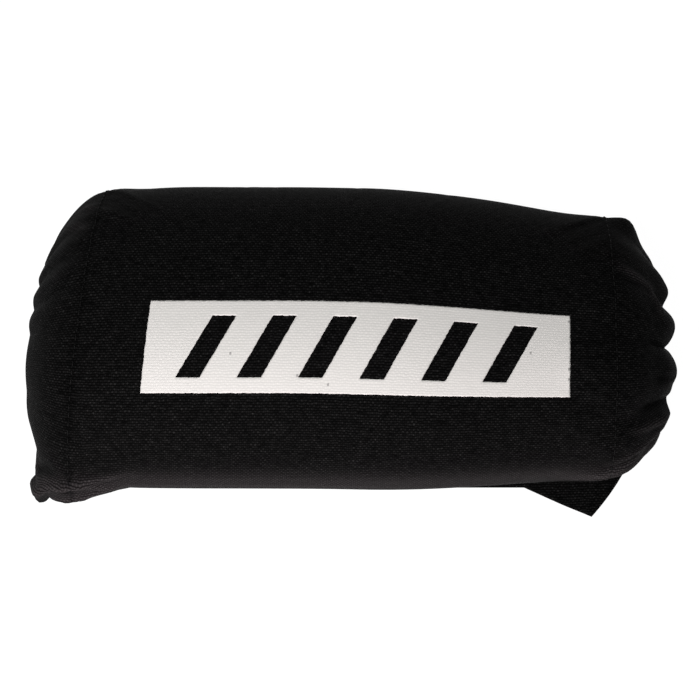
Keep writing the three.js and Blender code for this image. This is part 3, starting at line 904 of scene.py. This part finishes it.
def make_foam(material):
    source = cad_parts["foam_core"]
    mesh = source.data.copy()
    mesh.name = "foam_block"
    piece = bpy.data.objects.new("foam_block", mesh)
    bpy.context.collection.objects.link(piece)
    piece.matrix_world = source.matrix_world.copy()
    mesh.materials.clear()
    mesh.materials.append(material)
    ease_in(mesh, piece.matrix_world)
    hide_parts("foam_core")
    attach(piece, "root")


# Node materials.
def new_material(name):
    material = bpy.data.materials.new(name)
    material.use_nodes = True
    nodes = material.node_tree.nodes
    return material, nodes, material.node_tree.links, nodes["Principled BSDF"]


def math_node(nodes, links, operation, a, b=None, c=None):
    node = nodes.new("ShaderNodeMath")
    node.operation = operation
    for slot, value in enumerate((a, b, c)):
        if value is None:
            continue
        if isinstance(value, (int, float)):
            node.inputs[slot].default_value = value
        else:
            links.new(value, node.inputs[slot])
    return node.outputs[0]


def colour_mix(nodes, links, factor, dark, light):
    node = nodes.new("ShaderNodeMix")
    node.data_type = "RGBA"
    for socket, value in ((node.inputs[0], factor), (node.inputs[6], dark), (node.inputs[7], light)):
        if hasattr(value, "is_linked"):
            links.new(value, socket)
        elif isinstance(value, (int, float)):
            socket.default_value = value
        else:
            socket.default_value = (*value, 1)
    return node.outputs[2]


def noise(nodes, links, scale, detail=2.0, vector=None):
    node = nodes.new("ShaderNodeTexNoise")
    node.inputs["Scale"].default_value = scale
    node.inputs["Detail"].default_value = detail
    if vector is not None:
        links.new(vector, node.inputs["Vector"])
    return node.outputs[0]


def combine(nodes, links, x, y):
    node = nodes.new("ShaderNodeCombineXYZ")
    links.new(x, node.inputs[0])
    links.new(y, node.inputs[1])
    return node.outputs[0]


def wave(nodes, links, threads):
    """Up and down once for every two threads."""
    return math_node(nodes, links, "SINE", math_node(nodes, links, "MULTIPLY", threads, math.pi))


def weave(nodes, links):
    """A plain weave over the cloth's flat layout.

    It gives the height from 0 to 1, the two thread numbers, and how bright each thread is along its run.
    """
    uv = nodes.new("ShaderNodeUVMap")
    uv.uv_map = "flat"
    split = nodes.new("ShaderNodeSeparateXYZ")
    links.new(uv.outputs[0], split.inputs[0])
    u = math_node(nodes, links, "MULTIPLY", split.outputs[0], 1 / (WARP * MM))
    v = math_node(nodes, links, "MULTIPLY", split.outputs[1], 1 / (WEFT * MM))
    wander = noise(nodes, links, scale=0.35, detail=1, vector=combine(nodes, links, u, v))
    v = math_node(nodes, links, "ADD", v, math_node(nodes, links, "MULTIPLY", wander, ROW_WANDER))
    across, around = wave(nodes, links, u), wave(nodes, links, v)
    over = math_node(nodes, links, "GREATER_THAN", math_node(nodes, links, "MULTIPLY", across, around), 0.0)
    hump = math_node(nodes, links, "ABSOLUTE", around)
    crossing = math_node(nodes, links, "MULTIPLY_ADD", over, 1 - UNDER_HEIGHT, UNDER_HEIGHT)
    thread = math_node(nodes, links, "ABSOLUTE", across)
    along = math_node(nodes, links, "MULTIPLY_ADD", thread, 1 - UNDER_HEIGHT, UNDER_HEIGHT)
    height = math_node(nodes, links, "MULTIPLY", math_node(nodes, links, "MULTIPLY", hump, along), crossing)
    row = math_node(nodes, links, "MULTIPLY", math_node(nodes, links, "FLOOR", v), 3.7)
    place_in_row = math_node(nodes, links, "MULTIPLY", u, 0.3)
    streak = noise(nodes, links, scale=1.0, detail=2, vector=combine(nodes, links, place_in_row, row))
    return height, u, v, sharpened(nodes, links, streak, STREAK_CONTRAST)


def crossing_chance(nodes, links, u, v):
    """A chance value from 0 to 1 for each crossing of two threads."""
    chance = nodes.new("ShaderNodeTexWhiteNoise")
    chance.noise_dimensions = "2D"
    cell = combine(nodes, links, math_node(nodes, links, "FLOOR", u), math_node(nodes, links, "FLOOR", v))
    links.new(cell, chance.inputs["Vector"])
    return chance.outputs[0]


def sharpened(nodes, links, value, strength):
    """Pushes a noise away from its middle, and keeps it between 0 and 1."""
    node = math_node(nodes, links, "MULTIPLY_ADD", value, strength, 0.5 - 0.5 * strength)
    node.node.use_clamp = True
    return node


def bump(nodes, links, height, distance, strength=1.0, normal=None):
    node = nodes.new("ShaderNodeBump")
    node.inputs["Strength"].default_value = strength
    node.inputs["Distance"].default_value = distance
    links.new(height, node.inputs["Height"])
    if normal is not None:
        links.new(normal, node.inputs["Normal"])
    return node.outputs[0]


def cloth_material():
    """Black plain-woven nylon with painted light in its colour: a painted highlight on the crowns of its
    threads, painted shade in the gaps between them, and painted highlights and shade on the folds, the
    lower front edge and the hem seams.
    """
    material, nodes, links, shader = new_material("black_nylon")
    height, u, v, streaks = weave(nodes, links)
    texture = nodes.new("ShaderNodeTexCoord")
    patches = noise(nodes, links, scale=60, detail=3, vector=texture.outputs["Object"])
    rarely = math_node(nodes, links, "POWER", crossing_chance(nodes, links, u, v), 2)
    chance = math_node(nodes, links, "MULTIPLY_ADD", rarely, 1 - EVEN_SHARE, EVEN_SHARE)
    uneven = math_node(nodes, links, "MULTIPLY", streaks, chance)
    # The crowns of the threads carry a painted highlight over their own colour, and the gaps painted shade.
    crown_highlight = colour_mix(nodes, links, uneven, CLOTH_DULL, CLOTH_CROWN_HIGHLIGHT)
    raised = math_node(nodes, links, "POWER", height, THREAD_CONTRAST)
    thread = colour_mix(nodes, links, raised, CLOTH_GAP, crown_highlight)
    worn = colour_mix(nodes, links, patches, CLOTH_GAP, CLOTH_WORN)
    plain = colour_mix(nodes, links, WEAR_SHARE, thread, worn)
    # A painted highlight on ridges and the lower front edge, and painted shade in hollows and along the hem
    # seams.
    painted_light = nodes.new("ShaderNodeAttribute")
    painted_light.attribute_name = "painted_light"
    highlight = math_node(nodes, links, "MULTIPLY", painted_light.outputs["Fac"], HIGHLIGHT_STRENGTH)
    hollow_shade = math_node(nodes, links, "MULTIPLY", painted_light.outputs["Fac"], -HOLLOW_SHADE_STRENGTH)
    highlight.node.use_clamp = True
    hollow_shade.node.use_clamp = True
    highlight = math_node(nodes, links, "MULTIPLY", highlight, height)
    lighter = colour_mix(nodes, links, highlight, plain, CLOTH_HIGHLIGHT)
    links.new(colour_mix(nodes, links, hollow_shade, lighter, CLOTH_GAP), shader.inputs["Base Color"])
    shader.inputs["Roughness"].default_value = 0.65
    shader.inputs["Specular IOR Level"].default_value = 0.015
    shader.inputs["Sheen Weight"].default_value = 0.006
    shader.inputs["Sheen Roughness"].default_value = 0.35
    creases = noise(nodes, links, scale=220, detail=3, vector=texture.outputs["Object"])
    soft = bump(nodes, links, creases, distance=0.0006, strength=0.35)
    fine = bump(nodes, links, height, distance=0.00016, strength=1.0, normal=soft)
    links.new(fine, shader.inputs["Normal"])
    return material


def ink_material():
    """Off-white ink that sits in the weave: the gaps are fine darker lines, and a few crossings are bare."""
    material, nodes, links, shader = new_material("printed_ink")
    height, u, v, streaks = weave(nodes, links)
    bare = math_node(nodes, links, "GREATER_THAN", crossing_chance(nodes, links, u, v), INKED_SHARE)
    ink = colour_mix(nodes, links, streaks, INK_DULL, INK_BRIGHT)
    gap = math_node(nodes, links, "POWER", height, 0.5)
    sunk = colour_mix(nodes, links, gap, INK_GAP, ink)
    links.new(colour_mix(nodes, links, bare, sunk, INK_BARE), shader.inputs["Base Color"])
    shader.inputs["Roughness"].default_value = 0.6
    shader.inputs["Specular IOR Level"].default_value = 0.3
    links.new(bump(nodes, links, height, distance=0.0001, strength=0.45), shader.inputs["Normal"])
    return material


def foam_material():
    """Charcoal foam: fine open cells in a slightly patchy ground."""
    material, nodes, links, shader = new_material("charcoal_foam")
    texture = nodes.new("ShaderNodeTexCoord")
    cells = nodes.new("ShaderNodeTexVoronoi")
    cells.inputs["Scale"].default_value = 1400
    links.new(texture.outputs["Object"], cells.inputs["Vector"])
    patches = noise(nodes, links, scale=90, detail=4, vector=texture.outputs["Object"])
    base = colour_mix(nodes, links, patches, FOAM_DARK, FOAM_LIGHT)
    colour = colour_mix(nodes, links, cells.outputs["Distance"], FOAM_CELL, base)
    links.new(colour, shader.inputs["Base Color"])
    shader.inputs["Roughness"].default_value = 0.92
    pores = bump(nodes, links, cells.outputs["Distance"], distance=0.0003, strength=0.8)
    links.new(pores, shader.inputs["Normal"])
    return material


def thread_material():
    """Twisted sewing thread."""
    material, nodes, links, shader = new_material("black_thread")
    texture = nodes.new("ShaderNodeTexCoord")
    twist = nodes.new("ShaderNodeTexWave")
    twist.bands_direction = "DIAGONAL"
    twist.inputs["Scale"].default_value = 900
    links.new(texture.outputs["Object"], twist.inputs["Vector"])
    shade = colour_mix(nodes, links, twist.outputs["Fac"], CLOTH_GAP, THREAD_BLACK)
    links.new(shade, shader.inputs["Base Color"])
    shader.inputs["Roughness"].default_value = 0.6
    shader.inputs["Specular IOR Level"].default_value = 0.06
    strands = bump(nodes, links, twist.outputs["Fac"], distance=0.0001, strength=0.8)
    links.new(strands, shader.inputs["Normal"])
    return material


def tape_material(name, tone, scale, depth):
    """Woven tape with a fine raised field: hooks, loops or the ribs of an elastic."""
    material, nodes, links, shader = new_material(name)
    texture = nodes.new("ShaderNodeTexCoord")
    pile = nodes.new("ShaderNodeTexVoronoi")
    pile.inputs["Scale"].default_value = scale
    links.new(texture.outputs["Object"], pile.inputs["Vector"])
    colour = colour_mix(nodes, links, pile.outputs["Distance"], tuple(PILE_LIGHT * t for t in tone), tone)
    links.new(colour, shader.inputs["Base Color"])
    shader.inputs["Roughness"].default_value = 0.8
    raised = bump(nodes, links, pile.outputs["Distance"], distance=depth, strength=0.9)
    links.new(raised, shader.inputs["Normal"])
    return material


# The stage, in metres: a pale floor, soft lights from the near side, behind and the right, and the camera.
# SEEN_WIDTH is how much the picture shows at the point that the camera aims at.
CAMERA_AWAY = 0.72
CAMERA_ELEVATION = 75
SEEN_WIDTH = 0.2123
AIM = (-0.0002, -0.0029, 0.025)
SENSOR = 36
FLOOR_SIZE = 3.0
FLOOR_DROP = 0.0002
FLOOR_GLOW = 0.98
WORLD_LIGHT = 0.06


def make_stage():
    floor_material, nodes, links, shader = new_material("pale_floor")
    shader.inputs["Base Color"].default_value = (0.1, 0.1, 0.1, 1)
    shader.inputs["Roughness"].default_value = 0.9
    shader.inputs["Specular IOR Level"].default_value = 0.1
    shader.inputs["Emission Color"].default_value = (1, 1, 1, 1)
    shader.inputs["Emission Strength"].default_value = FLOOR_GLOW
    size = FLOOR_SIZE
    corners = np.array([[-size, -size, 0], [size, -size, 0], [size, size, 0], [-size, size, 0]])
    floor = new_object("floor", corners - np.array([0, 0, FLOOR_DROP]), [(0, 1, 2, 3)], floor_material)


def area_light(name, azimuth, elevation, distance, size, power, colour=(1, 1, 1)):
    """A square light that looks at the pad. Azimuth 0 is the near side, and 90 the right end."""
    light = bpy.data.lights.new(name, "AREA")
    light.size = size
    light.energy = power
    light.color = colour
    lamp = bpy.data.objects.new(name, light)
    bpy.context.collection.objects.link(lamp)
    a, e = math.radians(azimuth), math.radians(elevation)
    back = Vector((math.sin(a) * math.cos(e), -math.cos(a) * math.cos(e), math.sin(e)))
    lamp.location = back * distance
    lamp.rotation_euler = (-back).to_track_quat("-Z", "Y").to_euler()


def make_lights():
    world = bpy.data.worlds.new("studio")
    bpy.context.scene.world = world
    world.use_nodes = True
    background = world.node_tree.nodes["Background"]
    background.inputs[0].default_value = (1, 1, 1, 1)
    background.inputs[1].default_value = WORLD_LIGHT
    area_light("key", azimuth=-35, elevation=58, distance=0.6, size=0.35, power=4.2)
    area_light("front", azimuth=-10, elevation=3, distance=1.2, size=0.15, power=9, colour=(1, 0.86, 0.89))
    area_light("back", azimuth=-160, elevation=8, distance=1.4, size=0.8, power=4)
    area_light("right", azimuth=90, elevation=20, distance=1.4, size=0.8, power=3)


def make_camera():
    data = bpy.data.cameras.new("camera")
    data.sensor_width = SENSOR
    data.lens = data.sensor_width * CAMERA_AWAY / SEEN_WIDTH
    data.clip_start = 0.01
    camera = bpy.data.objects.new("camera", data)
    bpy.context.collection.objects.link(camera)
    e = math.radians(CAMERA_ELEVATION)
    back = Vector((0, -math.cos(e), math.sin(e)))
    camera.location = Vector(AIM) + back * CAMERA_AWAY
    camera.rotation_euler = (-back).to_track_quat("-Z", "Y").to_euler()
    bpy.context.scene.camera = camera


make_camera()
make_lights()
make_stage()
nylon = cloth_material()
cloth = make_cover(nylon)
make_print(cloth, ink_material())
make_foam(foam_material())
make_flap(nylon)
make_stitches(cloth, thread_material())
ribbed = tape_material("elastic_rib", ELASTIC_BLACK, scale=900, depth=0.0002)
make_elastic(cloth, LEFT, "left_elastic", "elastic_left", ribbed)
make_elastic(cloth, RIGHT, "right_elastic", "elastic_right", ribbed)
for node, made in {
    "hook_tape": tape_material("hook_field", HOOK_BLACK, scale=2200, depth=0.0003),
    "loop_tape": tape_material("loop_field", LOOP_BLACK, scale=1500, depth=0.0002),
}.items():
    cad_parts[node].data.materials.clear()
    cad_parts[node].data.materials.append(made)

bpy.context.scene.view_settings.view_transform = "Standard"
